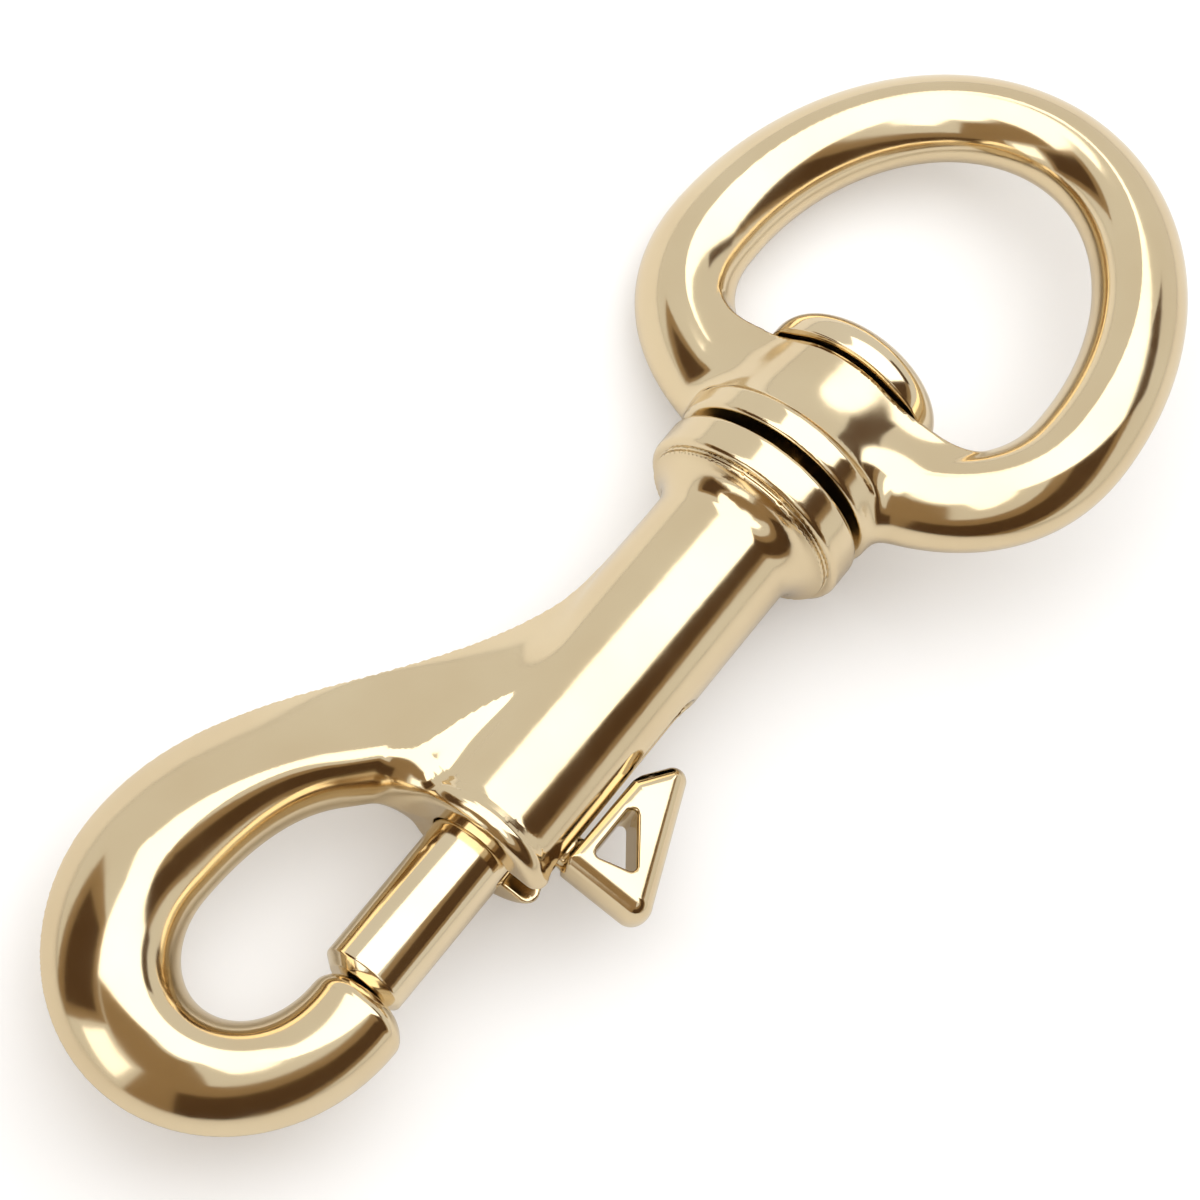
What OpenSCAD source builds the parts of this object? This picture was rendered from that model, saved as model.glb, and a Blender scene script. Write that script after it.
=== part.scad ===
// Swivel bolt snap: a cast hook closed by a sprung sliding bolt, with a swivelling eye.
//
// It is drawn lying on its side on a table. X runs along the barrel from the hook to the eye,
// Y is up the back of the hook, and Z is up from the table. Sizes are in millimetres.
// Places along the barrel are measured from the swivel face, which is the end of the body.

/* [Body] */
// Length of the body from its mouth to the swivel face
barrel_len = 36.4; // [34:0.1:42]
// Diameter of the barrel
barrel_d = 11.6; // [11:0.1:13]
// Diameter of the flange at the swivel
flange_d = 17; // [15:0.1:19]
// Width of the flange's rim band
flange_w = 3; // [2:0.1:4]
// Depth of the groove in front of the rim band
groove_depth = 0.5; // [0.2:0.05:0.8]
// Radius of the rounded edge round the mouth
mouth_round = 1.3; // [0.6:0.1:1.8]
// Thickness of the wall that holds the rivet
end_wall = 5.2; // [4:0.1:7]

/* [Hook] */
// Clear throat between the nose and the mouth
throat = 13.1; // [11:0.1:15]
// Length of the nose from its end to the middle of the bow
nose_len = 1.7; // [1.2:0.1:3]
// Width of the nose at its end
nose_w = 6.6; // [5:0.1:7]
// Clear height inside the bow
bow_clear_h = 9.6; // [8:0.1:12]
// Reach of the rounded end of the opening beyond the middle of the bow
bow_clear_len = 6.3; // [5:0.1:8]
// How far the inside of the nose lies below the top of the bolt
nose_drop = 0.7; // [0:0.05:1]
// Width of the bar under the bow
bar_low_w = 7.6; // [6.5:0.1:9]
// Width of the bar round the end of the bow
bar_end_w = 9; // [8:0.1:11]
// Width of the bar over the bow
bar_top_w = 10; // [8:0.1:11]
// Thickness of the bar across the hook
bar_t = 8.4; // [7:0.1:10]
// Thickness of the nose at its end
nose_t = 6.2; // [5:0.1:7]
// Lean of the bar's crest towards the opening, which leaves a long slope outside it
bar_lean = 0.3; // [0:0.05:0.4]

/* [Bolt] */
// Diameter of the bolt
bolt_d = 6.5; // [5.6:0.1:6.8]
// Length of the bolt
bolt_len = 25; // [22:0.1:27]
// How far the bolt slides back
travel = 13; // [11:0.1:13.2]
// Bevel round the end of the bolt
bolt_bevel = 0.7; // [0.2:0.05:1.2]
// Running clearance round the bolt
bolt_fit = 0.06; // [0.02:0.01:0.1]
// Gap left between the bolt and the nose
seat_gap = 0.1; // [0.05:0.05:0.3]

/* [Thumb lever] */
// Width of the lever across the barrel
lever_w = 5; // [4:0.1:7]
// How far the lever's corner stands from the bolt's centre line
lever_reach = 13; // [12:0.1:16]
// Length of the lever along the barrel
lever_len = 11.6; // [10.5:0.1:13]
// Drop of the lever's tip below the saddle
tip_drop = 2.1; // [1.6:0.1:3.5]
// Diameter of the lever's stem
stem_d = 2.8; // [2:0.1:3.4]
// Depth of the stem in the bolt
stem_depth = 4; // [2.5:0.1:5]
// Clearance between the lever and the barrel
lever_gap = 0.3; // [0.2:0.05:0.6]

/* [Swivel] */
// Gap between the flange and the foot of the eye
swivel_gap = 0.8; // [0.3:0.05:1.2]
// Diameter of the rivet's shank
shank_d = 5; // [4:0.1:5.2]
// Running clearance between the shank and the eye
shank_fit = 0.08; // [0.03:0.01:0.1]
// Diameter of the rivet's domed head
head_d = 14.6; // [12:0.1:15.4]
// Height of the rivet's domed head
head_h = 4.3; // [3:0.1:5]
// End play of the eye under the head
end_play = 0.15; // [0.1:0.05:0.4]
// Thickness of the tail that is spread inside the barrel
tail_t = 1.4; // [1:0.1:2]

/* [Eye] */
// Height of the eye's floor above the swivel face
floor_h = 10.2; // [9:0.1:13]
// Clear width of the eye
eye_clear_w = 26.4; // [24:0.1:30]
// Clear length of the eye from its floor to its crown
eye_clear_len = 25.6; // [23:0.1:30]
// Thickness of the ring at its sides
ring_side_d = 7.8; // [6.5:0.1:9]
// Thickness of the ring at its crown
ring_crown_d = 7.2; // [6:0.1:9]
// Distance from the floor to the widest place of the eye
eye_widest = 7.4; // [6:0.1:9]
// Thickness of the eye's round foot
foot_t = 2.4; // [1.8:0.1:3.4]

/* [Spring] */
// Diameter of the spring's wire
wire_d = 0.6; // [0.4:0.05:0.65]
// Outer diameter of the spring
coil_d = 5.2; // [4.6:0.1:5.6]
// Turns in the spring
coil_turns = 7; // [5:1:7]

/* [Hidden] */
bronze = [0.80, 0.70, 0.52];
bolt_bronze = [0.84, 0.76, 0.60];
steel = [0.62, 0.63, 0.64];
ring_points = 24;

// The body's places along the barrel.
mouth_x = -barrel_len;
nose_x = mouth_x - throat;
bow_x = nose_x - nose_len;
barrel_r = barrel_d / 2;
flange_r = flange_d / 2;
bore_r = bolt_d / 2 + bolt_fit;

// The edges of the bar where it is highest, lowest and furthest out.
in_low_y = bolt_d / 2 - nose_drop;
in_top_y = in_low_y + bow_clear_h;
out_low_y = in_low_y - bar_low_w;
out_top_y = in_top_y + bar_top_w;
out_len = bow_clear_len + bar_end_w;
body_start_x = bow_x - out_len;

// The lever, measured from the bolt's centre line.
bolt_tip_x = nose_x + seat_gap;
stem_x = mouth_x + 4.6;
lever_front_x = mouth_x + 3;
saddle_y = -(barrel_r + lever_gap);
corner_r = 1.4;
tip_r = 1.1;
arm_t = 2;
saddle_t = 1;
pad_t = 2.4;
window_r = 0.4;
slot_w = stem_d + 2 * lever_gap;
slot_end_x = stem_x + travel + 0.2;

// The eye.
foot_x = swivel_gap;
floor_x = floor_h;
crown_x = floor_x + eye_clear_len + ring_crown_d / 2;
wide_x = floor_x + eye_widest;
ring_half_w = (eye_clear_w + ring_side_d) / 2;
low_x = foot_x + ring_side_d / 2;
shoulder = 0.87;
foot_r = flange_r;
rest_turn = asin((flange_r - ring_side_d / 2) / ring_half_w);
head_x = floor_x + end_play;

// The origin lies on the table under the middle of the part.
eye_reach_y = ring_half_w * cos(rest_turn) + ring_side_d / 2;
part_end_x = crown_x + ring_crown_d / 2;
mid_x = (body_start_x + part_end_x) / 2;
mid_y = (max(out_top_y, eye_reach_y) - eye_reach_y) / 2;

function mix(a, b, t) = a + (b - a) * t;
function ease(t) = t * t * (3 - 2 * t);
function curve(p, t) =
    pow(1 - t, 3) * p[0] + 3 * t * pow(1 - t, 2) * p[1] + 3 * t * t * (1 - t) * p[2] + pow(t, 3) * p[3];
function swell(v, k) = sign(v) * pow(abs(v), k);
function arc(centre, r, from, to, steps) =
    [for (i = [0:steps]) centre + r * [cos(mix(from, to, i / steps)), sin(mix(from, to, i / steps))]];

// One section of a bar: a soft oval that spans two edge points and is t thick. Its crest may lean inwards.
function oval(inner, outer, t, softness = 0.86, lean = 0) =
    let (centre = (inner + outer) / 2, half = (outer - inner) / 2)
    [for (i = [0:ring_points - 1])
        let (a = 360 * i / ring_points, across = swell(cos(a), softness), rise = swell(sin(a), softness),
             flat = centre + half * (across - lean * abs(rise) * (1 + across)))
        [flat[0], flat[1], t / 2 * rise]];

// Joins rings of points into a solid bar, with flat ends or closed into a loop.
module skin(rings, loop = false) {
    n = len(rings[0]);
    spans = loop ? len(rings) : len(rings) - 1;
    points = [for (ring = rings) each ring];
    sides = [for (i = [0:spans - 1], k = [0:n - 1])
        let (a = i * n, b = ((i + 1) % len(rings)) * n, l = (k + 1) % n)
        each [[a + k, b + l, b + k], [a + k, a + l, b + l]]];
    ends = loop ? [] : [[for (k = [n - 1:-1:0]) k], [for (k = [0:n - 1]) (len(rings) - 1) * n + k]];
    polyhedron(points, concat(sides, ends), convexity = 6);
}

module along_x(x) {
    translate([x, 0, 0]) rotate([0, 90, 0]) children();
}

// Puts a piece from the barrel's own frame on the table.
module on_table() {
    translate([-mid_x, -mid_y, flange_r]) children();
}

// The bow runs from under the opening, round its end, to over it.
function bow_inner(a) =
    [bow_x - bow_clear_len * sin(a), (in_low_y + in_top_y) / 2 - bow_clear_h / 2 * cos(a)];
function bow_outer(a) =
    [bow_x - out_len * sin(a), (out_low_y + out_top_y) / 2 - (out_top_y - out_low_y) / 2 * cos(a)];

// The spine falls from the top of the bow into the barrel, and its inner edge turns down to the mouth.
spine_outer = [[bow_x, out_top_y], [mouth_x + 1.4, out_top_y], [mouth_x + 9.4, barrel_r - 0.4],
    [mouth_x + 27.4, barrel_r - 0.4]];
spine_inner = [[bow_x, in_top_y], [mouth_x - 5, in_top_y], [mouth_x, in_top_y - 3.6], [mouth_x, 0]];
spine_end = [mouth_x + 22, 0];
function spine_in(t) =
    t < 0.5 ? curve(spine_inner, 0.75 * pow(t / 0.5, 1.3))
            : mix(curve(spine_inner, 0.75), spine_end, ease((t - 0.5) / 0.5));

function nose_oval(x, shrink) =
    let (middle = [x, in_low_y - 0.3 - nose_w / 2], half = [0, nose_w / 2 * shrink])
    oval(middle + half, middle - half, nose_t * shrink);

module hook_bar() {
    spine = [for (i = [14:-1:1]) let (t = i / 14)
        oval(spine_in(t), curve(spine_outer, t), mix(bar_t, bar_t - 1.4, t), lean = bar_lean * (1 - 0.5 * t))];
    bow = [for (i = [18:-1:0]) let (a = 10 * i)
        oval(bow_inner(a), bow_outer(a), mix(nose_t + 1.2, bar_t, ease(min(1, i / 9))),
            lean = bar_lean * ease(min(1, i / 7)))];
    nose = [nose_oval(nose_x - 0.5, 1), nose_oval(nose_x, 0.86)];
    skin(concat(spine, bow, nose));
}

// The turned shape of the barrel: rounded mouth, plain barrel, flare, groove and rim band.
module barrel_turning() {
    flare_r = flange_r - barrel_r;
    rim_x = -flange_w;
    edge = 0.5;
    along_x(0)
        rotate_extrude($fn = 64)
            polygon(concat(
                [[0, mouth_x]],
                arc([barrel_r - mouth_round, mouth_x + mouth_round], mouth_round, -90, 0, 5),
                arc([flange_r - 0.2, rim_x - flare_r - 0.3], flare_r - 0.2, 180, 100, 7),
                [[flange_r - groove_depth - 0.4, rim_x - 0.25], [flange_r - groove_depth - 0.4, rim_x]],
                arc([flange_r - edge, rim_x + edge], edge, -80, 0, 3),
                arc([flange_r - edge, -edge], edge, 0, 80, 3),
                [[flange_r - edge, 0], [0, 0]]));
}

module slot() {
    translate([mouth_x - 1, -barrel_r - 2, -slot_w / 2])
        cube([slot_end_x - mouth_x + 1, barrel_r + 2, slot_w]);
    translate([slot_end_x, 0, 0]) rotate([90, 0, 0]) cylinder(h = barrel_r + 2, d = slot_w, $fn = 32);
}

module hook_body() {
    color(bronze)
        on_table()
            difference() {
                union() {
                    hook_bar();
                    barrel_turning();
                }
                along_x(mouth_x - 2) cylinder(h = barrel_len + 2 - end_wall, r = bore_r, $fn = 48);
                along_x(-end_wall - 1) cylinder(h = end_wall + 2, d = shank_d + 0.04, $fn = 48);
                slot();
            }
}

module bolt() {
    spigot_d = coil_d - 2 * wire_d - 0.6;
    spigot_len = 2;
    color(bolt_bronze)
        on_table()
            difference() {
                union() {
                    along_x(bolt_tip_x) cylinder(h = bolt_bevel, d1 = bolt_d - 2 * bolt_bevel, d2 = bolt_d, $fn = 48);
                    along_x(bolt_tip_x + bolt_bevel) cylinder(h = bolt_len - bolt_bevel, d = bolt_d, $fn = 48);
                    along_x(bolt_tip_x + bolt_len) cylinder(h = spigot_len, d = spigot_d, $fn = 32);
                }
                translate([stem_x, 0, 0]) rotate([90, 0, 0])
                    translate([0, 0, bolt_d / 2 - stem_depth]) cylinder(h = stem_depth + 1, d = stem_d + 0.04, $fn = 32);
            }
}

// A triangular loop: saddle along the barrel, arm at the front, thumb pad on the slant.
module lever_outline() {
    tip = [lever_front_x + lever_len - tip_r, saddle_y - tip_drop];
    corner = [lever_front_x + corner_r, -lever_reach + corner_r];
    window_x = lever_front_x + arm_t + window_r;
    window_y = saddle_y - saddle_t - window_r;
    difference() {
        hull() {
            translate([lever_front_x, saddle_y - 1]) square([1, 2]);
            translate([tip[0] - 2.4, saddle_y - 1]) square([0.4, 1.6]);
            translate(corner) circle(r = corner_r, $fn = 32);
            translate(tip) circle(r = tip_r, $fn = 32);
        }
        hull() {
            translate([window_x, window_y]) circle(r = window_r, $fn = 16);
            translate([window_x + 3.6, window_y]) circle(r = window_r, $fn = 16);
            translate([window_x + 0.6, -lever_reach + pad_t + 0.9]) circle(r = window_r, $fn = 16);
        }
    }
}

module thumb_lever() {
    color(bolt_bronze)
        on_table() {
            difference() {
                translate([0, 0, -lever_w / 2]) linear_extrude(lever_w) lever_outline();
                along_x(mouth_x) cylinder(h = barrel_len, r = barrel_r + lever_gap, $fn = 64);
            }
            translate([stem_x, 0, 0]) rotate([90, 0, 0])
                translate([0, 0, bolt_d / 2 - stem_depth])
                    cylinder(h = barrel_r + lever_gap + 0.6 - bolt_d / 2 + stem_depth, d = stem_d, $fn = 32);
        }
}

// The spring lies between the tail of the rivet and the back of the bolt.
module coil_spring() {
    start_x = bolt_tip_x + bolt_len + wire_d / 2 + 0.05;
    end_x = -end_wall - tail_t - wire_d / 2 - 0.05;
    steps_per_turn = 12;
    steps = coil_turns * steps_per_turn;
    mean_r = (coil_d - wire_d) / 2;
    closed = wire_d * 1.05;
    open = (end_x - start_x - 2 * closed) / (coil_turns - 2);
    rings = [for (i = [0:steps])
        let (turn = i / steps_per_turn, a = 360 * turn,
             x = start_x + closed * min(turn, 1) + open * max(0, min(turn - 1, coil_turns - 2))
                 + closed * max(0, turn - coil_turns + 1))
        [for (k = [0:7]) let (b = 45 * k, r = mean_r + wire_d / 2 * cos(b))
            [x + wire_d / 2 * sin(b), r * cos(a), r * sin(a)]]];
    color(steel) on_table() skin(rings);
}

// The ring is widest near the floor. It narrows towards the crown and has full shoulders below.
function ring_middle(a) =
    cos(a) > 0 ? [wide_x + (crown_x - wide_x) * cos(a), ring_half_w * sin(a)]
               : [wide_x + (wide_x - low_x) * swell(cos(a), shoulder), ring_half_w * swell(sin(a), shoulder)];

module eye_ring() {
    sections = 48;
    rings = [for (i = [0:sections - 1])
        let (a = 360 * i / sections, here = ring_middle(a), ahead = ring_middle(a + 0.5) - ring_middle(a - 0.5),
             out = [ahead[1], -ahead[0]] / norm(ahead),
             d = cos(a) > 0 ? mix(ring_side_d, ring_crown_d, cos(a)) : ring_side_d)
        oval(here - out * d / 2, here + out * d / 2, d, 1)];
    skin(rings, loop = true);
}

// The round foot turns on the flange.
module eye_foot() {
    edge = 0.5;
    along_x(0)
        rotate_extrude($fn = 64)
            polygon(concat(
                [[0, foot_x]],
                arc([foot_r - edge, foot_x + edge], edge, -90, 0, 4),
                arc([foot_r - edge, foot_x + foot_t - edge], edge, 0, 90, 4),
                [[0, foot_x + foot_t]]));
}

// The web rises from the foot as a hollow cone that widens into the flat floor of the eye.
module eye_web() {
    start_x = foot_x + foot_t - 0.4;
    start_r = foot_r - 0.9;
    floor_half_w = eye_clear_w / 2 - 1;
    floor_t = ring_side_d + 0.6;
    skin([for (i = [0:8])
        let (t = i / 8, half_w = mix(start_r, floor_half_w, ease(t)),
             thick = mix(2 * start_r, floor_t, sin(90 * t)), x = mix(start_x, floor_x, t))
        ring_across(x, half_w, thick)]);
}

// One section across the barrel's line, half_w each way along Y and t thick.
function ring_across(x, half_w, t) =
    [for (i = [0:ring_points - 1])
        let (a = 360 * i / ring_points)
        [x, -half_w * swell(cos(a), 0.92), t / 2 * swell(sin(a), 0.92)]];

module swivel_eye() {
    color(bronze)
        on_table()
            rotate([-rest_turn, 0, 0])
                difference() {
                    union() {
                        eye_ring();
                        eye_foot();
                        eye_web();
                    }
                    along_x(foot_x - 6) cylinder(h = 6, r = foot_r + 12, $fn = 64);
                    along_x(foot_x - 1) cylinder(h = floor_x + 2, d = shank_d + 2 * shank_fit, $fn = 48);
                    along_x(floor_x) cylinder(h = 2, d = head_d + 1, $fn = 64);
                }
}

// The rivet holds the eye: domed head, shank, and a tail spread inside the barrel.
module swivel_rivet() {
    rim_t = 0.8;
    dome_h = head_h - rim_t;
    dome_r = (pow(head_d / 2, 2) + pow(dome_h, 2)) / (2 * dome_h);
    dome_turn = asin(head_d / 2 / dome_r);
    tail_r = bore_r - 0.15;
    color(bolt_bronze)
        on_table()
            along_x(0)
                rotate_extrude($fn = 64)
                    polygon(concat(
                        [[0, -end_wall - tail_t], [tail_r, -end_wall - tail_t], [tail_r, -end_wall],
                            [shank_d / 2, -end_wall], [shank_d / 2, head_x], [head_d / 2, head_x]],
                        arc([0, head_x + head_h - dome_r], dome_r, 90 - dome_turn, 90, 10)));
}

hook_body();
bolt();
thumb_lever();
coil_spring();
swivel_eye();
swivel_rivet();
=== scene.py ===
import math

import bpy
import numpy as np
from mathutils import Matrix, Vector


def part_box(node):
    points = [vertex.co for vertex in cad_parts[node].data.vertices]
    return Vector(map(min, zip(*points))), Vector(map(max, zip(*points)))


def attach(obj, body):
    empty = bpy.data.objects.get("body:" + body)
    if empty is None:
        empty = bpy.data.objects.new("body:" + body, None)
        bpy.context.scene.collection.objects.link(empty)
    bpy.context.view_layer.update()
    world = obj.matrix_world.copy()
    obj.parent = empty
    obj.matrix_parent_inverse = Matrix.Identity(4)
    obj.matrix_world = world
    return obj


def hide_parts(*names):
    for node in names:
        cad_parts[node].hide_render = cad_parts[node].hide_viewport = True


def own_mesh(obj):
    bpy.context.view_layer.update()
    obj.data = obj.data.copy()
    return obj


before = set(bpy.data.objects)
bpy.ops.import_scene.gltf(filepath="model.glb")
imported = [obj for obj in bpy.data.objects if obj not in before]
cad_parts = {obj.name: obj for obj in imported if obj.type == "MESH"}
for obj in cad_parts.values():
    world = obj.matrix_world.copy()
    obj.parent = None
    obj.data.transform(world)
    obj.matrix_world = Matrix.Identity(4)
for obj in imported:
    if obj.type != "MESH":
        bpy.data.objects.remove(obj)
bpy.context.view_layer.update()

# %% [markdown]
# # A swivel bolt snap, lying on a table
#
# A bolt snap is the clip at the end of a lead or a bag strap. A cast hook is closed by a round bolt that a spring
# pushes forward, a thumb lever draws the bolt back, and an oval eye turns on a rivet at the other end. The exact
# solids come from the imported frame. Here each piece gets the soft edges, blends and polish of the real thing.
#
# All lengths below are in millimetres along the barrel: X runs from the hook to the eye with 0 at the swivel face,
# Y is up the back of the hook, Z is up from the barrel's centre line. `ORIGIN` is where the middle of the swivel
# face lies in the frame, and `to_frame` turns the lengths into the frame's metres.

ORIGIN = np.array([11.75, -0.8905, 8.5])


def to_frame(points):
    """Points in millimetres along the barrel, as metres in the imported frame."""
    return (np.asarray(points, float) + ORIGIN) / 1000


for name in sorted(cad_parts):
    low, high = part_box(name)
    print(name, "spans", [round(1000 * (b - a), 1) for a, b in zip(low, high)], "mm")

# %% [markdown]
# ## Measuring a form by its distance field
#
# A casting has no sharp joins: where the hook's bar runs into the barrel, the metal flows together in a fillet.
# That is easy to describe with a distance field, a function that says how far a point is from the surface, negative
# inside. Two forms are joined by taking the smaller distance, and a soft minimum leaves a fillet between them. The
# soft maximum cuts one form with another and rounds the edge of the cut.

# %% Joining and cutting fields
def soft_min(a, b, fillet):
    h = np.clip(0.5 + 0.5 * (b - a) / fillet, 0, 1)
    return b + (a - b) * h - fillet * h * (1 - h)


def soft_max(a, b, fillet):
    return -soft_min(-a, -b, fillet)


def ease(t):
    """From 0 to 1 as t does, starting and ending gently."""
    t = np.clip(t, 0, 1)
    return t * t * (3 - 2 * t)


def mix(a, b, t):
    return a + (b - a) * t


def arc(x, y, radius, start, end, steps=10):
    """Points on an arc round (x, y), between two angles in degrees."""
    a = np.radians(np.linspace(start, end, steps + 1))
    return np.stack([x + radius * np.cos(a), y + radius * np.sin(a)], 1)


def outline_distance(x, y, outline):
    """Signed distance in a plane from each point to a closed outline, negative inside."""
    best = np.full(len(x), 1e9)
    inside = np.zeros(len(x), bool)
    for (ax, ay), (bx, by) in zip(outline, np.roll(outline, -1, axis=0)):
        ex, ey = bx - ax, by - ay
        px, py = x - ax, y - ay
        t = np.clip((px * ex + py * ey) / max(ex * ex + ey * ey, 1e-12), 0, 1)
        best = np.minimum(best, (px - t * ex) ** 2 + (py - t * ey) ** 2)
        if ay != by:
            inside ^= (y >= min(ay, by)) & (y < max(ay, by)) & (px < py * ex / ey)
    return np.sqrt(best) * np.where(inside, -1, 1)


def turned_distance(p, profile):
    """Distance to a form turned on a lathe, from its (x, radius) profile drawn from one end to the other."""
    whole = np.concatenate([profile, (np.array(profile) * [1, -1])[::-1]])
    return outline_distance(p[:, 0], np.hypot(p[:, 1], p[:, 2]), whole)


# %% [markdown]
# ## From a field to a mesh
#
# The space round a form is cut into small cells. Every cell that the surface crosses gets one point, and the points
# of neighbouring cells are joined into four-sided faces. Each point is then slid down the field's slope until it lies
# exactly on the surface, and the slope itself is kept as the normal, so the polish reflects without a ripple.

# %% The surface finder
UNIT = np.eye(3, dtype=int)
CELL, FINE_CELL = 0.3, 0.15


def slope(field, p, h=0.02):
    """The field's gradient, from four points round each point."""
    corners = np.array([[1, -1, -1], [-1, -1, 1], [-1, 1, -1], [1, 1, 1]])
    return sum(c * field(p + h * c)[:, None] for c in corners) / (4 * h)


def find_surface(field, low, high, step):
    """One point in each cell that the surface crosses, and the faces between them as rows of four points."""
    low, high = np.array(low, float), np.array(high, float)
    shape = np.ceil((high - low) / step).astype(int) + 1
    where = np.stack(np.meshgrid(*[low[i] + step * np.arange(shape[i]) for i in range(3)], indexing="ij"), -1)
    value = np.concatenate([field(row.reshape(-1, 3)) for row in where]).reshape(shape)
    inside, cells = value < 0, tuple(shape)
    faces, crossings = [], []
    for d in range(3):
        ahead = np.roll(inside, -1, axis=d)
        changed = inside != ahead
        changed[tuple(slice(-1, None) if k == d else slice(None) for k in range(3))] = False
        i = np.argwhere(changed)
        here, there = value[tuple(i.T)], value[tuple((i + UNIT[d]).T)]
        point = low + step * (i + UNIT[d] * (here / (here - there))[:, None])
        e, g = UNIT[(d + 1) % 3], UNIT[(d + 2) % 3]
        around = np.stack([i - e - g, i - g, i, i - e], 1)
        outward = inside[tuple(i.T)]
        around[~outward] = around[~outward][:, ::-1]
        faces.append(around.reshape(-1, 3))
        crossings.append(np.repeat(point, 4, axis=0))
    flat = np.ravel_multi_index(np.concatenate(faces).T, cells)
    _, index = np.unique(flat, return_inverse=True)
    total = np.stack([np.bincount(index, c) for c in np.concatenate(crossings).T], 1)
    points = total / np.bincount(index)[:, None]
    return points, index.reshape(-1, 4)


LONGEST_SLIDE, LEAST_SLOPE, SPREADING = 0.2, 0.05, 0.6


def settle(field, points, quads, relax=3):
    """Slides the points onto the surface, and evens out their spacing along it."""
    ends = np.concatenate([quads[:, [0, 1]], quads[:, [1, 2]], quads[:, [2, 3]], quads[:, [3, 0]]])
    links = np.bincount(ends[:, 0], minlength=len(points))[:, None]
    for turn in range(relax + 2):
        g = slope(field, points)
        off = field(points) / np.maximum((g ** 2).sum(1), LEAST_SLOPE)
        points = points - np.clip(off, -LONGEST_SLIDE, LONGEST_SLIDE)[:, None] * g
        if turn < relax:
            near = np.stack([np.bincount(ends[:, 0], points[ends[:, 1], k], len(points)) for k in range(3)], 1)
            drift = near / links - points
            normal = g / np.linalg.norm(g, axis=1)[:, None]
            points = points + SPREADING * (drift - (drift * normal).sum(1)[:, None] * normal)
    g = slope(field, points)
    return points, g / np.linalg.norm(g, axis=1)[:, None]


def piece(name, points, faces, body, normals=None):
    """A mesh of the object, in the frame, riding on one of its bodies."""
    mesh = bpy.data.meshes.new(name)
    mesh.from_pydata(to_frame(points).tolist(), [], [list(map(int, f)) for f in faces])
    mesh.shade_smooth()
    if normals is not None:
        mesh.normals_split_custom_set_from_vertices(normals.tolist())
    made = bpy.data.objects.new(name, mesh)
    bpy.context.scene.collection.objects.link(made)
    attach(made, body)
    print(name, "has", len(mesh.polygons), "faces")
    return made


# %% [markdown]
# ## The hook's curved bar
#
# The bar is a soft-peaked oval in section, thickest round the bow and slimmer at the nose. Along the spine its crest
# leans towards the opening, so a long flat slope runs outside it, as on most cast snaps. The bar is described by its
# two edges: at each place `s` along it, one point on the inner edge, one on the outer edge, a thickness and the lean
# of the crest. `s` runs from 0 inside the barrel, along the spine to 1, round the bow to 2, and on to the nose beyond
# 2. Below 0 both edges run on inside the barrel, so the bar's end never shows.

# %% Sizes of the hook body
MOUTH, BARREL_R, FLANGE_R = -36.4, 5.8, 8.5
NOSE, BOW = MOUTH - 13.1, MOUTH - 14.8
IN_LOW, IN_TOP, OUT_LOW, OUT_TOP = 2.55, 12.15, -5.05, 22.15
BOW_IN, BOW_OUT = 6.3, 15.3
ROOT_THICK, BOW_THICK, NOSE_THICK, TIP_THICK = 7.0, 8.4, 7.4, 6.4
SPINE_LEAN, BOW_LEAN, UPRIGHT_FROM = 0.45, 0.12, math.radians(70)
NOSE_MIDDLE, NOSE_HALF, NOSE_LENGTH = -1.25, 3.8, 8
TIP_MIDDLE, TIP_HALF, TAPER_END = IN_LOW - 3.6, 3.3, 0.2

print("the bow is", round(OUT_TOP - OUT_LOW, 1), "mm high")
print("the nose ends", round(MOUTH - NOSE, 1), "mm before the mouth")

# %% [markdown]
# The spine follows two Bezier curves, one over it and one under it. The curve under it is walked for three quarters
# of its length, and from there the inner edge turns into the barrel, to the root. The bow is two half ellipses.

# %% The bar's two edges
OVER = [(BOW, OUT_TOP), (MOUTH + 1.4, OUT_TOP), (MOUTH + 9.4, BARREL_R - 0.4), (MOUTH + 27.4, BARREL_R - 0.4)]
UNDER = [(BOW, IN_TOP), (MOUTH - 5, IN_TOP), (MOUTH, IN_TOP - 3.6), (MOUTH, 0)]
UNDER_SHARE, UNDER_PACE, HALFWAY = 0.75, 1.3, 0.5
ROOT, ROOT_START = (MOUTH + 22, 0), 0.38
PAST_ROOT_IN, PAST_ROOT_OUT = (30, 2), (22, -12)


def bezier(points, t):
    a, b, c, d = [np.array(p, float) for p in points]
    t = t[:, None]
    return (1 - t) ** 3 * a + 3 * t * (1 - t) ** 2 * b + 3 * t * t * (1 - t) * c + t ** 3 * d


def spine(s):
    t, past_root = 1 - np.clip(s, 0, 1), np.maximum(-s, 0)[:, None]
    under = bezier(UNDER, UNDER_SHARE * (np.minimum(t, HALFWAY) / HALFWAY) ** UNDER_PACE)
    inner = mix(under, np.array(ROOT), ease((t - ROOT_START) / (1 - ROOT_START))[:, None])
    inner, outer = inner + past_root * PAST_ROOT_IN, bezier(OVER, t) + past_root * PAST_ROOT_OUT
    return inner, outer, mix(BOW_THICK, ROOT_THICK, t), mix(BOW_LEAN, SPINE_LEAN, ease(t / HALFWAY))


def bow(s):
    a = math.pi * (1 - np.clip(s - 1, 0, 1))
    inner = np.stack([BOW - BOW_IN * np.sin(a), (IN_LOW + IN_TOP) / 2 - (IN_TOP - IN_LOW) / 2 * np.cos(a)], 1)
    outer = np.stack([BOW - BOW_OUT * np.sin(a), (OUT_LOW + OUT_TOP) / 2 - (OUT_TOP - OUT_LOW) / 2 * np.cos(a)], 1)
    return inner, outer, mix(NOSE_THICK, BOW_THICK, ease(a / (math.pi / 2))), BOW_LEAN * ease(a / UPRIGHT_FROM)


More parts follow.
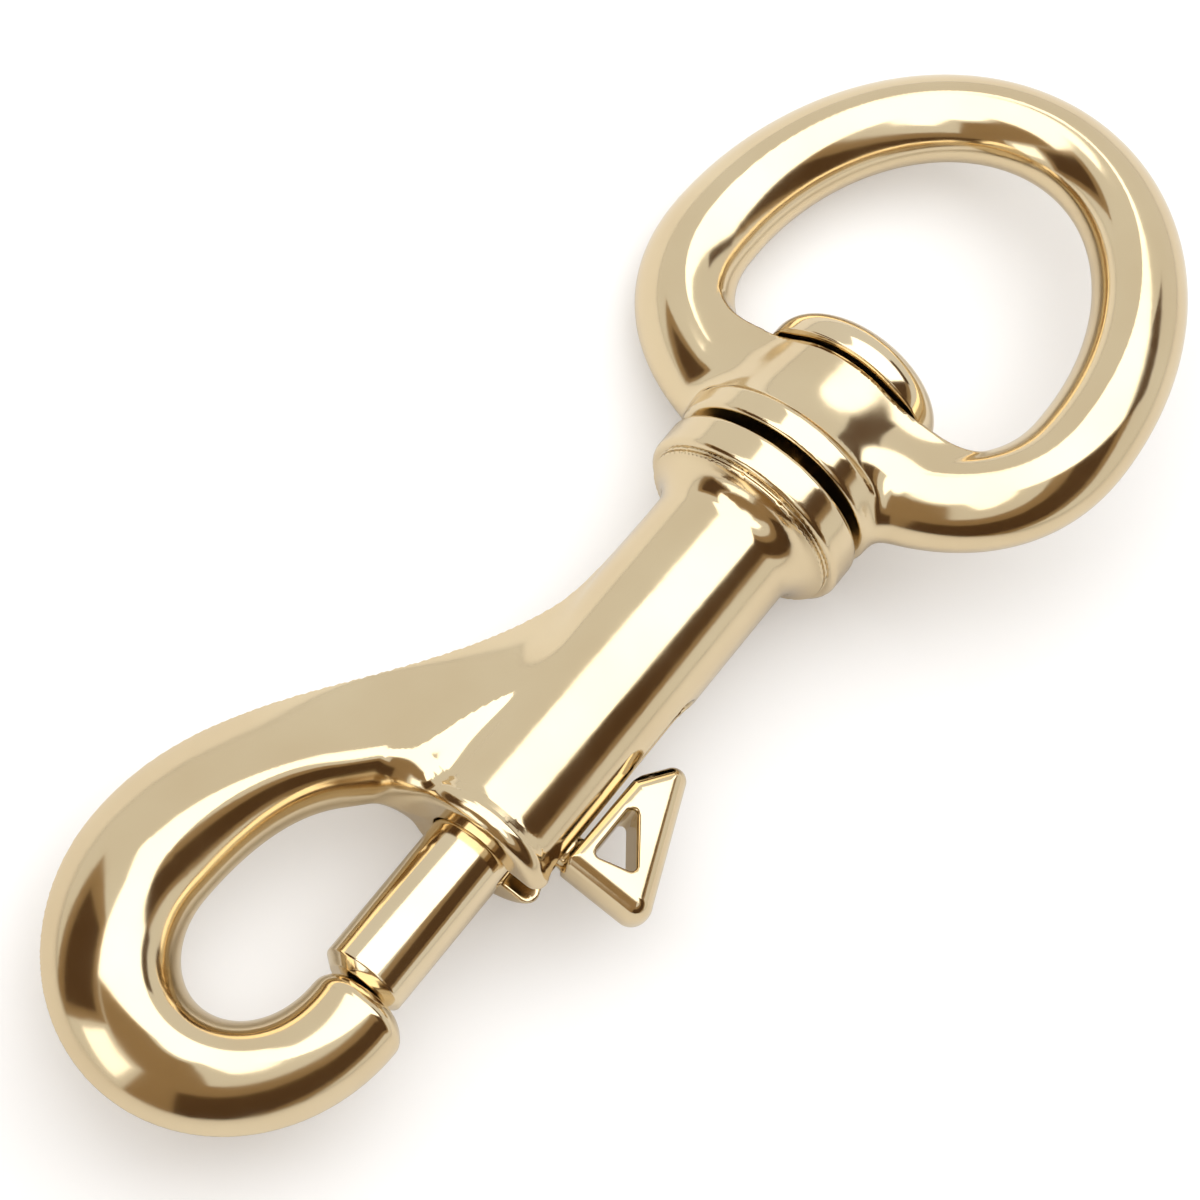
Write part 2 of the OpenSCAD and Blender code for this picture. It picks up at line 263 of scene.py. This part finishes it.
def nose(s):
    past = np.maximum(s - 2, 0)
    taper, x = ease(past / TAPER_END), BOW + NOSE_LENGTH * past
    middle, half = mix(NOSE_MIDDLE, TIP_MIDDLE, taper), mix(NOSE_HALF, TIP_HALF, taper)
    inner, outer = np.stack([x, middle + half], 1), np.stack([x, middle - half], 1)
    return inner, outer, mix(NOSE_THICK, TIP_THICK, taper), np.zeros(len(s))


def bar_edges(s):
    """Inner edge, outer edge, thickness and lean of the bar at each s."""
    def pick(on_spine, on_bow, on_nose):
        column = s.reshape(-1, *[1] * (on_spine.ndim - 1))
        return np.where(column > 2, on_nose, np.where(column > 1, on_bow, on_spine))
    return [pick(*choices) for choices in zip(spine(s), bow(s), nose(s))]


for place, s in [("halfway along the spine", 0.5), ("at the end of the bow", 1.5), ("at the nose", 2.1)]:
    inner, outer, thick, _ = [v[0] for v in bar_edges(np.array([s]))]
    print("the bar is", np.linalg.norm(outer - inner).round(1), "by", thick.round(1), "mm", place)

# %% [markdown]
# A point's distance to the bar is found in two steps. First comes its place along the bar, the `s` whose cross-line
# from edge to edge passes through the point. The nearest of many cross-lines gives a start, and false position closes
# in on the exact one. `NOWHERE` marks the points that no cross-line meets. Then the point is held against the oval
# section there: a power of 2 draws an ellipse, and a smaller one draws a peaked crest. Points share their place when
# they lie above each other, so each is worked out once.

# %% The distance to the bar
S_ALL = np.linspace(-0.35, 2.6, 360)
NOWHERE, FAR, BATCH = 1e6, 20, 20000
BAR_POWER, NOSE_POWER, NOSE_FROM, NOSE_OVER = 1.65, 2.2, 1.8, 0.4
MOST_RISE, BAR_SLOPE, NOSE_ROUND, WELL_INSIDE = 1.6, 0.75, 1.3, -9


def place_on_bar(xy):
    """The s whose cross-line passes through each point, and whether there is none."""
    inner, outer, _, _ = bar_edges(S_ALL)
    line, centre = outer - inner, (inner + outer) / 2
    side = (xy[:, None, 0] - inner[:, 0]) * line[:, 1] - (xy[:, None, 1] - inner[:, 1]) * line[:, 0]
    met = side[:, :-1] * side[:, 1:] <= 0
    far = (xy[:, None, 0] - centre[:-1, 0]) ** 2 + (xy[:, None, 1] - centre[:-1, 1]) ** 2
    far = np.where(met, far, NOWHERE)
    k, rows = far.argmin(1), np.arange(len(xy))
    lost = far[rows, k] == NOWHERE
    c0, c1 = side[rows, k], side[rows, k + 1]
    s0, s1 = S_ALL[k], S_ALL[k + 1]
    for _ in range(3):
        s = s0 + (s1 - s0) * np.clip(c0 / np.where(c0 == c1, 1, c0 - c1), 0, 1)
        a, b, _, _ = bar_edges(s)
        c = (xy[:, 0] - a[:, 0]) * (b - a)[:, 1] - (xy[:, 1] - a[:, 1]) * (b - a)[:, 0]
        same = c * c0 > 0
        s0, c0 = np.where(same, s, s0), np.where(same, c, c0)
        s1, c1 = np.where(same, s1, s), np.where(same, c1, c)
    return s, lost


def bar_distance(p):
    xy, back = np.unique(np.round(p[:, :2], 6), axis=0, return_inverse=True)
    batches = [place_on_bar(xy[i:i + BATCH]) for i in range(0, len(xy), BATCH)]
    s, lost = [np.concatenate(v) for v in zip(*batches)]
    inner, outer, thick, lean = bar_edges(s)
    across = (outer - inner) / 2
    half = np.linalg.norm(across, axis=1)
    u = ((xy - (inner + outer) / 2) * across).sum(1) / half ** 2
    s, lost, u, half, thick, lean = [v[back.ravel()] for v in (s, lost, u, half, thick, lean)]
    z = np.abs(p[:, 2])
    rise = np.minimum(2 * z / thick, MOST_RISE)
    upright = (u + lean * rise) / (1 - lean * rise)
    power = mix(BAR_POWER, NOSE_POWER, ease((s - NOSE_FROM) / NOSE_OVER))
    oval = (np.abs(upright) ** power + (2 * z / thick) ** power) ** (1 / power)
    reach = np.hypot(upright * half, z)
    bar = np.where(lost, FAR, reach - reach / np.maximum(oval, 1e-4)) * BAR_SLOPE
    past_nose = np.where(s > 1.5, p[:, 0] - NOSE, WELL_INSIDE)
    return soft_max(bar, past_nose, NOSE_ROUND)


# %% [markdown]
# ## The body: bar, barrel and flange in one casting
#
# The barrel is turned: a mouth with a low bead, a plain barrel, a flare, a fine groove and the rim band that the eye
# turns against. Bar and barrel meet in a small fillet, which widens at the mouth, where the hook's inner edge flows
# into the barrel. The bore and the lever's slot are cut from the joined form with a small round on each edge, as
# tumbling and buffing leave them.

# %% The hook body
RIM, RIM_ROUND, GROOVE_R, GROOVE_W = -3.0, 0.5, FLANGE_R - 0.8, 0.1
BEAD_ROUND, HOLLOW_X, HOLLOW_R = 1.0, MOUTH + 2.4, 0.6
FLARE_X, FLARE_R = RIM - 3, 2.5
BARREL = np.concatenate([
    [(MOUTH, 0)],
    arc(MOUTH + BEAD_ROUND, BARREL_R - HOLLOW_R, BEAD_ROUND, 180, 60, 24),
    arc(HOLLOW_X, BARREL_R + HOLLOW_R, HOLLOW_R, 240, 270, 6),
    arc(FLARE_X, BARREL_R + FLARE_R, FLARE_R, 270, 350, 36),
    [(RIM - GROOVE_W, GROOVE_R), (RIM, GROOVE_R)],
    arc(RIM + RIM_ROUND, FLANGE_R - RIM_ROUND, RIM_ROUND, 170, 90, 10),
    arc(-RIM_ROUND, FLANGE_R - RIM_ROUND, RIM_ROUND, 90, 0, 10),
    [(0, 0)]])
FILLET, MOUTH_FILLET, FILLET_SPREAD = 0.9, 3.2, 20
FILLET_X, FILLET_Y = MOUTH + 1.5, 7.5
BOLT_R, BORE_R, BORE_END, OUTSIDE = 3.25, 3.31, -5.2, MOUTH - 2
RIVET_HOLE_R, RIVET_HOLE_START = 2.52, -6
SLOT_END, SLOT_HALF, CUT_ROUND = -18.6, 1.7, 0.35


def hook_body_field(p):
    x, y, z = p.T
    near_mouth = np.exp(-((x - FILLET_X) ** 2 + (y - FILLET_Y) ** 2) / FILLET_SPREAD)
    body = soft_min(bar_distance(p), turned_distance(p, BARREL), FILLET + MOUTH_FILLET * near_mouth)
    r = np.hypot(y, z)
    bore = np.maximum(r - BORE_R, np.maximum(x - BORE_END, OUTSIDE - x))
    rivet_hole = np.maximum(r - RIVET_HOLE_R, RIVET_HOLE_START - x)
    slot = np.maximum(np.hypot(np.maximum(x - SLOT_END, 0), z) - SLOT_HALF, np.maximum(y, OUTSIDE - x))
    body = soft_max(body, -np.minimum(bore, rivet_hole), CUT_ROUND)
    return soft_max(body, -slot, CUT_ROUND)


points, quads = find_surface(hook_body_field, [-67.2, -9.3, -9.3], [0.8, 23, 9.3], CELL)
points, normals = settle(hook_body_field, points, quads)
hook_body = piece("hook_body_cast", points, quads, "snap_body", normals)
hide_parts("hook_body")

# %% [markdown]
# ## The swivelling eye
#
# The eye is a second casting: an oval ring with a soft-peaked section, widest just above its flat floor, on a web
# that narrows like a hollow cone to the round foot. A round hub stands out of the web where the rivet goes through
# it. The eye is drawn upright and then turned about the barrel to where it rests on the table.

# %% Sizes of the eye
FOOT, FOOT_H, FOOT_ROUND, FLOOR = 0.8, 2.4, 0.5, 10.2
RING_R, CROWN_R, RING_HALF_W = 3.9, 3.6, 17.1
WIDE, CROWN, LOW = FLOOR + 7.4, 39.4, FOOT + RING_R
CORNER_POWER, RING_POWER, EYE_SLOPE = 0.87, 1.75, 0.9
WEB_START, WEB_LOW, WEB_R, WEB_HALF_W, WEB_HALF_T, WEB_POWER = 1.5, 2.8, 7.6, 12.2, 4.3, 2.17
HUB_LOW_R, HUB_TOP_R, HUB_FILLET = 7.5, 6.5, 1.6
EYE_BORE_R, SEAT_R, SEAT_H = 2.58, 7.8, 2
RING_FILLET, FOOT_FILLET, FACE_ROUND, FLOOR_ROUND, SEAT_ROUND = 1.8, 0.5, 0.25, 0.4, 0.3
REST_TURN = math.asin((FLANGE_R - RING_R) / RING_HALF_W)

print("the eye is clear by", round(2 * (RING_HALF_W - RING_R), 1), "mm and rests turned by",
      round(math.degrees(REST_TURN), 1), "degrees")

# %% [markdown]
# The ring's middle line is two half ovals that meet where it is widest. The lower one is a little squarer, so the
# ring runs into the web with broad shoulders. Each point looks for the nearest place on that line, first among many
# and then by Newton steps.

# %% The ring
A_ALL = np.linspace(-math.pi, math.pi, 361)


def swell(v, power):
    return np.sign(v) * np.abs(v) ** power


def ring_middle(a):
    c, s = np.cos(a), np.sin(a)
    up = np.stack([WIDE + (CROWN - WIDE) * c, RING_HALF_W * s], -1)
    down = np.stack([WIDE + (WIDE - LOW) * swell(c, CORNER_POWER), RING_HALF_W * swell(s, CORNER_POWER)], -1)
    return np.where((c > 0)[..., None], up, down)


def ring_distance(p):
    xy, back = np.unique(np.round(p[:, :2], 6), axis=0, return_inverse=True)
    middle = ring_middle(A_ALL)
    nearest = [((xy[i:i + BATCH, None] - middle) ** 2).sum(2).argmin(1) for i in range(0, len(xy), BATCH)]
    a = A_ALL[np.concatenate(nearest)]
    for h in (0.01, 0.004, 0.002):
        f0, f1, f2 = [((xy - ring_middle(a + d)) ** 2).sum(1) for d in (-h, 0, h)]
        a = a + np.clip(0.5 * h * (f0 - f2) / np.maximum(f0 - 2 * f1 + f2, 1e-9), -0.01, 0.01)
    apart = np.sqrt(((xy - ring_middle(a)) ** 2).sum(1))
    radius = mix(RING_R, CROWN_R, np.maximum(np.cos(a), 0))
    apart, radius = apart[back.ravel()], radius[back.ravel()]
    section = (apart ** RING_POWER + np.abs(p[:, 2]) ** RING_POWER) ** (1 / RING_POWER)
    return section * EYE_SLOPE - radius * EYE_SLOPE


# %% [markdown]
# The web, the foot and the hub join the ring in soft fillets. Last come the cuts: the hole for the rivet's shank, and
# a flat seat in the floor for its head.

# %% The whole eye
EYE_FOOT = np.concatenate([
    [(FOOT, 0)],
    arc(FOOT + FOOT_ROUND, FLANGE_R - FOOT_ROUND, FOOT_ROUND, 180, 90, 10),
    arc(FOOT + FOOT_H - FOOT_ROUND, FLANGE_R - FOOT_ROUND, FOOT_ROUND, 90, 0, 10),
    [(FOOT + FOOT_H, 0)]])


def web_distance(p):
    x, y, z = p.T
    t = np.clip((x - WEB_LOW) / (FLOOR - WEB_LOW), 0, 1)
    half_w, half_t = mix(WEB_R, WEB_HALF_W, ease(t)), mix(WEB_R, WEB_HALF_T, np.sin(t * math.pi / 2))
    oval = ((np.abs(y) / half_w) ** WEB_POWER + (np.abs(z) / half_t) ** WEB_POWER) ** (1 / WEB_POWER)
    reach = np.hypot(y, z)
    wings = (reach - reach / np.maximum(oval, 1e-4)) * EYE_SLOPE
    side = soft_min(wings, reach - mix(HUB_LOW_R, HUB_TOP_R, t), HUB_FILLET)
    return soft_max(side, np.maximum(x - FLOOR, WEB_START - x), FLOOR_ROUND)


def eye_field(p):
    x, y, z = p.T
    r = np.hypot(y, z)
    eye = soft_min(ring_distance(p), web_distance(p), RING_FILLET)
    eye = soft_min(eye, turned_distance(p, EYE_FOOT), FOOT_FILLET)
    eye = soft_max(eye, FOOT - x, FACE_ROUND)
    seat = np.maximum(r - SEAT_R, np.abs(x - FLOOR - SEAT_H / 2) - SEAT_H / 2)
    hole = np.maximum(r - EYE_BORE_R, x - FLOOR - 1)
    return soft_max(soft_max(eye, -seat, SEAT_ROUND), -hole, SEAT_ROUND)


def turn_to_rest(v):
    c, s = math.cos(REST_TURN), math.sin(REST_TURN)
    return np.stack([v[:, 0], c * v[:, 1] + s * v[:, 2], -s * v[:, 1] + c * v[:, 2]], 1)


points, quads = find_surface(eye_field, [0.2, -21.6, -9], [43.6, 21.6, 9], CELL)
points, normals = settle(eye_field, points, quads)
eye = piece("swivel_eye_cast", turn_to_rest(points), quads, "eye", turn_to_rest(normals))
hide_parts("swivel_eye")

# %% [markdown]
# ## The bolt and the rivet, turned on a lathe
#
# Both are plain turned pieces. The bolt's end is bevelled, the bevel is softened by polishing, and a short peg at its
# back carries the spring. The rivet has a full domed head with a thin rim, and its tail is spread inside the barrel.

# %% Turned pieces
SHARP_ANGLE = math.radians(30)
TIP, BEVEL, BEVEL_END, END_ROUND, BOLT_ROUND = NOSE + 0.1, 0.95, 0.85, 0.25, 0.3
BOLT_BACK, PEG_LENGTH, PEG_R, PEG_ROUND = TIP + 25, 2, 1.7, 0.2
HEAD_X, HEAD_R, HEAD_H, HEAD_ROUND, RIM_H, DOME_POWER = FLOOR + 0.15, 7.3, 4.3, 0.15, 0.8, 0.9
SHANK_R, TAIL_X, TAIL_R, TAIL_ROUND = 2.5, -6.6, 3.15, 0.2


def turned(name, profile, body, node, around=144):
    """A solid of revolution about the barrel's line, from a profile of (x, radius) that starts and ends on it."""
    profile = np.array(profile)
    rings, a = profile[1:-1], np.arange(around) * 2 * math.pi / around
    points = [(profile[0][0], 0, 0)]
    points += [(x, r * math.cos(b), r * math.sin(b)) for x, r in rings for b in a]
    points += [(profile[-1][0], 0, 0)]
    faces, last = [], len(points) - 1
    for k in range(around):
        n = (k + 1) % around
        faces.append((0, 1 + k, 1 + n))
        for i in range(len(rings) - 1):
            c, d = 1 + i * around, 1 + (i + 1) * around
            faces.append((c + k, d + k, d + n, c + n))
        faces.append((last, last - around + n, last - around + k))
    made = piece(name, points, faces, body)
    made.data.set_sharp_from_angle(angle=SHARP_ANGLE)
    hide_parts(node)
    return made


bolt = turned("bolt_turned", np.concatenate([
    [(TIP, 0)],
    arc(TIP + END_ROUND, BOLT_R - BEVEL, END_ROUND, 180, 135, 4),
    arc(TIP + BEVEL_END, BOLT_R - BOLT_ROUND, BOLT_ROUND, 135, 90, 5),
    arc(BOLT_BACK - BOLT_ROUND, BOLT_R - BOLT_ROUND, BOLT_ROUND, 90, 0, 5),
    [(BOLT_BACK, PEG_R)],
    arc(BOLT_BACK + PEG_LENGTH - PEG_ROUND, PEG_R - PEG_ROUND, PEG_ROUND, 90, 0, 4),
    [(BOLT_BACK + PEG_LENGTH, 0)]]), "sliding_bolt", "bolt")

lean_back = np.linspace(0, math.pi / 2, 30)[1:-1]
dome_x = HEAD_X + RIM_H + (HEAD_H - RIM_H) * np.sin(lean_back) ** DOME_POWER
dome = np.stack([dome_x, HEAD_R * np.cos(lean_back) ** DOME_POWER], 1)
rivet = turned("rivet_turned", np.concatenate([
    [(TAIL_X, 0)],
    arc(TAIL_X + TAIL_ROUND, TAIL_R - TAIL_ROUND, TAIL_ROUND, 180, 90, 4),
    [(BORE_END, TAIL_R), (BORE_END, SHANK_R), (HEAD_X, SHANK_R)],
    arc(HEAD_X + HEAD_ROUND, HEAD_R - HEAD_ROUND, HEAD_ROUND, 180, 90, 4),
    [(HEAD_X + RIM_H, HEAD_R)], dome, [(HEAD_X + HEAD_H, 0)]]), "snap_body", "swivel_rivet")

# %% [markdown]
# ## The thumb lever
#
# The lever is a small casting too: a triangular loop with a saddle that slides along the barrel, an arm at the front
# and a slanted pad for the thumb. Its round stem goes through the barrel's slot into the bolt.

# %% The lever
SADDLE, ARM_X, STEM_X = -(BARREL_R + 0.3), MOUTH + 3, MOUTH + 4.6
LEVER_HALF, LEVER_ROUND, SADDLE_ROUND = 2.5, 2.4, 0.3
WINDOW_INSET, WINDOW_ROUND = 0.4, 0.5
STEM_R, STEM_LOW, STEM_TOP, STEM_FILLET = 1.4, SADDLE - 0.8, 0.75, 0.4
LOOP = np.concatenate([
    [(ARM_X, SADDLE + 1)],
    arc(ARM_X + 1.4, -11.6, 1.4, 180, 300, 12),
    arc(ARM_X + 10.5, SADDLE - 2.1, 1.1, -57, 62, 12),
    [(ARM_X + 8.5, SADDLE + 0.6)]])
WINDOW = np.array([(ARM_X + 2.4, SADDLE - 1.4), (ARM_X + 6.0, SADDLE - 1.4), (ARM_X + 3.0, -9.7)])


def lever_field(p):
    x, y, z = p.T
    loop = soft_max(outline_distance(x, y, LOOP), np.abs(z) - LEVER_HALF, LEVER_ROUND)
    loop = soft_max(loop, WINDOW_INSET - outline_distance(x, y, WINDOW), WINDOW_ROUND)
    loop = soft_max(loop, -SADDLE - np.hypot(y, z), SADDLE_ROUND)
    stem = np.maximum(np.hypot(x - STEM_X, z) - STEM_R, np.maximum(STEM_LOW - y, y - STEM_TOP))
    return soft_min(loop, stem, STEM_FILLET)


points, quads = find_surface(lever_field, [ARM_X - 0.4, -13.4, -2.8], [ARM_X + 12, 1.2, 2.8], FINE_CELL)
points, normals = settle(lever_field, points, quads)
lever = piece("thumb_lever_cast", points, quads, "sliding_bolt", normals)
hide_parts("thumb_lever")

# %% [markdown]
# ## The spring
#
# The spring is wound from round wire with a closed turn at each end. It lies behind the bolt, out of sight unless
# one looks down the slot.

# %% The wound wire
WIRE_R, MEAN_R, TURNS, CLOSED_PITCH, GAP = 0.3, 2.3, 7, 0.63, 0.05
STEPS_A_TURN, SIDES = 28, 12
START, END = BOLT_BACK + WIRE_R + GAP, TAIL_X - WIRE_R - GAP
turn = np.linspace(0, TURNS, TURNS * STEPS_A_TURN + 1)
open_pitch = (END - START - 2 * CLOSED_PITCH) / (TURNS - 2)
along = (START + CLOSED_PITCH * np.minimum(turn, 1) + open_pitch * np.clip(turn - 1, 0, TURNS - 2)
         + CLOSED_PITCH * np.maximum(turn - TURNS + 1, 0))
points, faces = [], []
for x, t in zip(along, turn):
    for k in range(SIDES):
        a, b = 2 * math.pi * t, 2 * math.pi * k / SIDES
        r = MEAN_R + WIRE_R * math.cos(b)
        points.append((x + WIRE_R * math.sin(b), r * math.cos(a), r * math.sin(a)))
for i in range(len(turn) - 1):
    c, d = SIDES * i, SIDES * (i + 1)
    faces += [(c + k, c + (k + 1) % SIDES, d + (k + 1) % SIDES, d + k) for k in range(SIDES)]
faces += [tuple(range(SIDES - 1, -1, -1)), tuple(range(len(points) - SIDES, len(points)))]
spring = piece("spring_wire", points, faces, "snap_body")
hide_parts("coil_spring")
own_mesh(spring)

# %% [markdown]
# ## Finishes
#
# The castings and turned pieces are plated in a pale champagne bronze and polished bright. Real plate isn't a
# perfect mirror: its tone drifts a little, buffing leaves a fine haze in places, and the cast skin under it is very
# slightly wavy.

# %% The polished bronze and the spring wire
TONE_SCALE, HAZE_SCALE = 90, 260
NOISE_LOW, NOISE_HIGH = 0.3, 0.7


def metal(name, light, deep, gloss, haze, waviness, grain):
    """A metal that drifts between two tones and two roughnesses, on a skin with waves this high in metres."""
    made = bpy.data.materials.new(name)
    made.use_nodes = True
    nodes, links = made.node_tree.nodes, made.node_tree.links
    shader = nodes["Principled BSDF"]
    shader.inputs["Metallic"].default_value = 1
    place = nodes.new("ShaderNodeTexCoord")

    def noise(scale, detail):
        made = nodes.new("ShaderNodeTexNoise")
        made.inputs["Scale"].default_value = scale
        made.inputs["Detail"].default_value = detail
        links.new(place.outputs["Object"], made.inputs["Vector"])
        return made.outputs["Fac"]

    def between(fac, low, high):
        made = nodes.new("ShaderNodeMapRange")
        made.inputs["From Min"].default_value, made.inputs["From Max"].default_value = NOISE_LOW, NOISE_HIGH
        made.inputs["To Min"].default_value, made.inputs["To Max"].default_value = low, high
        links.new(fac, made.inputs["Value"])
        return made.outputs["Result"]

    tone = nodes.new("ShaderNodeMix")
    tone.data_type = "RGBA"
    tone.inputs["A"].default_value, tone.inputs["B"].default_value = (*light, 1), (*deep, 1)
    links.new(between(noise(TONE_SCALE, 3), 0, 1), tone.inputs["Factor"])
    links.new(tone.outputs["Result"], shader.inputs["Base Color"])
    links.new(between(noise(HAZE_SCALE, 4), gloss, haze), shader.inputs["Roughness"])
    bump = nodes.new("ShaderNodeBump")
    bump.inputs["Strength"].default_value = 1
    bump.inputs["Distance"].default_value = waviness
    links.new(noise(grain, 2), bump.inputs["Height"])
    links.new(bump.outputs["Normal"], shader.inputs["Normal"])
    return made


cast = metal("polished cast bronze", (0.81, 0.67, 0.44), (0.76, 0.61, 0.385),
             gloss=0.09, haze=0.15, waviness=0.000012, grain=320)
turned_finish = metal("polished turned bronze", (0.83, 0.70, 0.48), (0.79, 0.65, 0.43),
                      gloss=0.08, haze=0.13, waviness=0.000004, grain=900)
wire = metal("drawn spring wire", (0.55, 0.55, 0.56), (0.45, 0.45, 0.46),
             gloss=0.25, haze=0.4, waviness=0.000004, grain=2500)
for made, finish in [(hook_body, cast), (eye, cast), (lever, cast), (bolt, turned_finish), (rivet, turned_finish),
                     (spring, wire)]:
    made.data.materials.clear()
    made.data.materials.append(finish)
    print(made.name, "is finished in", finish.name)

# %% [markdown]
# ## The camera
#
# The camera looks down on the snap from the hook's side, a little more than a hand's breadth away, and is rolled so
# that the barrel climbs to the upper right of the picture. The angles are in degrees, and the picture is taken to be
# 1200 pixels wide: the lens follows from how many of them a millimetre fills.

# %% Where the camera stands
AZIMUTH, HEIGHT, ROLL, DISTANCE = 188.0, 67.5, 51.6, 280.0
PICTURE, PIXELS_PER_MM, SHIFT_X, SHIFT_Y, SENSOR = 1200, 13.5, -63, -2, 36
MIDDLE = np.array([0, 0, 8.5])
az, el, roll = [math.radians(v) for v in (AZIMUTH, HEIGHT, ROLL)]
towards = np.array([math.cos(el) * math.cos(az), math.cos(el) * math.sin(az), math.sin(el)])
right = np.cross([0, 1, 0], towards)
right /= np.linalg.norm(right)
up = np.cross(towards, right)
right, up = math.cos(roll) * right - math.sin(roll) * up, math.sin(roll) * right + math.cos(roll) * up


def stand(made, place, x_axis, y_axis, z_axis):
    """Puts an object at a place in millimetres in the frame, with these axes."""
    turn = Matrix([[*row] for row in np.stack([x_axis, y_axis, z_axis], 1)]).to_4x4()
    made.matrix_world = Matrix.Translation(np.asarray(place, float) / 1000) @ turn
    return made


lens = bpy.data.cameras.new("camera")
lens.sensor_width = SENSOR
lens.lens = SENSOR * PIXELS_PER_MM * DISTANCE / PICTURE
lens.shift_x, lens.shift_y = SHIFT_X / PICTURE, SHIFT_Y / PICTURE
lens.clip_start = 0.01
camera = bpy.data.objects.new("camera", lens)
bpy.context.scene.collection.objects.link(camera)
stand(camera, MIDDLE + DISTANCE * towards, right, up, towards)
bpy.context.scene.camera = camera
print("camera at", [round(v, 3) for v in camera.location], "lens", round(lens.lens, 1), "mm")

# %% [markdown]
# ## The table
#
# The table is plain and pale. Where the camera sees it, it is lifted a little towards white, and it still keeps the
# snap's shadow. The lift doesn't reach the metal, since only camera rays get it.

# %% The pale table
TABLE_TONE, TABLE_LIFT, TABLE_HALF = (0.8, 0.8, 0.8), 0.24, 2
corners = [(-TABLE_HALF, -TABLE_HALF, 0), (TABLE_HALF, -TABLE_HALF, 0), (TABLE_HALF, TABLE_HALF, 0),
           (-TABLE_HALF, TABLE_HALF, 0)]
floor_mesh = bpy.data.meshes.new("table")
floor_mesh.from_pydata(corners, [], [(0, 1, 2, 3)])
floor = bpy.data.objects.new("table", floor_mesh)
bpy.context.scene.collection.objects.link(floor)
paper = bpy.data.materials.new("pale table")
paper.use_nodes = True
nodes, links = paper.node_tree.nodes, paper.node_tree.links
surface = nodes["Principled BSDF"].inputs
surface["Base Color"].default_value = (*TABLE_TONE, 1)
surface["Roughness"].default_value = 0.9
surface["Specular IOR Level"].default_value = 0
surface["Emission Color"].default_value = (1, 1, 1, 1)
seen, lift = nodes.new("ShaderNodeLightPath"), nodes.new("ShaderNodeMath")
lift.operation = "MULTIPLY"
lift.inputs[1].default_value = TABLE_LIFT
links.new(seen.outputs["Is Camera Ray"], lift.inputs[0])
links.new(lift.outputs["Value"], surface["Emission Strength"])
floor_mesh.materials.append(paper)
print("the table is", 2 * TABLE_HALF, "m wide")

# %% [markdown]
# ## Softboxes and cards
#
# Polished metal shows nothing but what stands round it, so the cards matter most. Each is a curved sheet facing the
# snap, placed by two spans of angles: round the picture from its right, and away from the camera. The white softboxes
# stand over the camera and to the upper right and left of it. They glow by themselves and are black otherwise, so no
# light wanders on between them. Dark cards stand low on the right and left, with brown ones round and below them, and
# they draw the dark lines that make the metal look round. The room beyond is a soft white.

# %% The lights
NEAR, BEHIND, BELOW = 400, 410, 412
BLACK, BROWN, DARK = (0, 0, 0), (0.42, 0.30, 0.17), (0.12, 0.07, 0.035)
SOFTBOX_GLOW, SMALL_GLOW = 2.2, 1.9
ROOM_TONE, ROOM_STRENGTH = (1, 0.99, 0.97), 0.78
GRID = 24


def reflector(name, around, tilt, colour, glow=0, away=NEAR):
    """A curved card facing the snap. It spans these angles round the picture from its right, and from the camera."""
    corners = []
    for i in range(GRID + 1):
        for j in range(GRID + 1):
            a, t = math.radians(mix(*around, i / GRID)), math.radians(mix(*tilt, j / GRID))
            d = math.sin(t) * (math.cos(a) * right + math.sin(a) * up) + math.cos(t) * towards
            corners.append(((MIDDLE + away * d) / 1000).tolist())
    row = GRID + 1
    faces = [(i * row + j, i * row + j + 1, (i + 1) * row + j + 1, (i + 1) * row + j)
             for i in range(GRID) for j in range(GRID)]
    mesh = bpy.data.meshes.new(name)
    mesh.from_pydata(corners, [], faces)
    made = bpy.data.objects.new(name, mesh)
    bpy.context.scene.collection.objects.link(made)
    finish = bpy.data.materials.new(name)
    finish.use_nodes = True
    surface = finish.node_tree.nodes["Principled BSDF"].inputs
    surface["Base Color"].default_value = (*colour, 1)
    surface["Roughness"].default_value = 1
    surface["Specular IOR Level"].default_value = 0
    surface["Emission Color"].default_value = (1, 1, 1, 1)
    surface["Emission Strength"].default_value = glow
    mesh.materials.append(finish)
    made.visible_camera = False


reflector("white softbox over the camera", (-60, 165), (0, 24), BLACK, SOFTBOX_GLOW)
reflector("white softbox beside the camera", (165, 300), (0, 10), BLACK, SOFTBOX_GLOW)
reflector("white softbox at the upper right", (14, 85), (24, 72), BLACK, SOFTBOX_GLOW)
reflector("white softbox above", (85, 118), (24, 56), BLACK, SOFTBOX_GLOW)
reflector("white softbox at the upper left", (118, 165), (24, 45), BLACK, SOFTBOX_GLOW)
reflector("small white card", (-164, -138), (48, 64), BLACK, SMALL_GLOW)
reflector("dark card at the right", (-108, 12), (49, 72), DARK)
reflector("dark card at the upper right", (12, 40), (74, 84), DARK)
reflector("dark card at the left", (146, 186), (50, 72), DARK)
reflector("brown card round the dark one", (-132, 13), (38, 79), BROWN, away=BEHIND)
reflector("brown card at the left", (138, 192), (45, 79), BROWN, away=BEHIND)
reflector("brown card below", (-195, -90), (14, 44), BROWN, away=BELOW)

world = bpy.data.worlds.new("soft white room")
bpy.context.scene.world = world
world.use_nodes = True
world.node_tree.nodes["Background"].inputs["Color"].default_value = (*ROOM_TONE, 1)
world.node_tree.nodes["Background"].inputs["Strength"].default_value = ROOM_STRENGTH
bpy.context.scene.view_settings.view_transform = "Standard"
print("soft white room of strength", ROOM_STRENGTH)
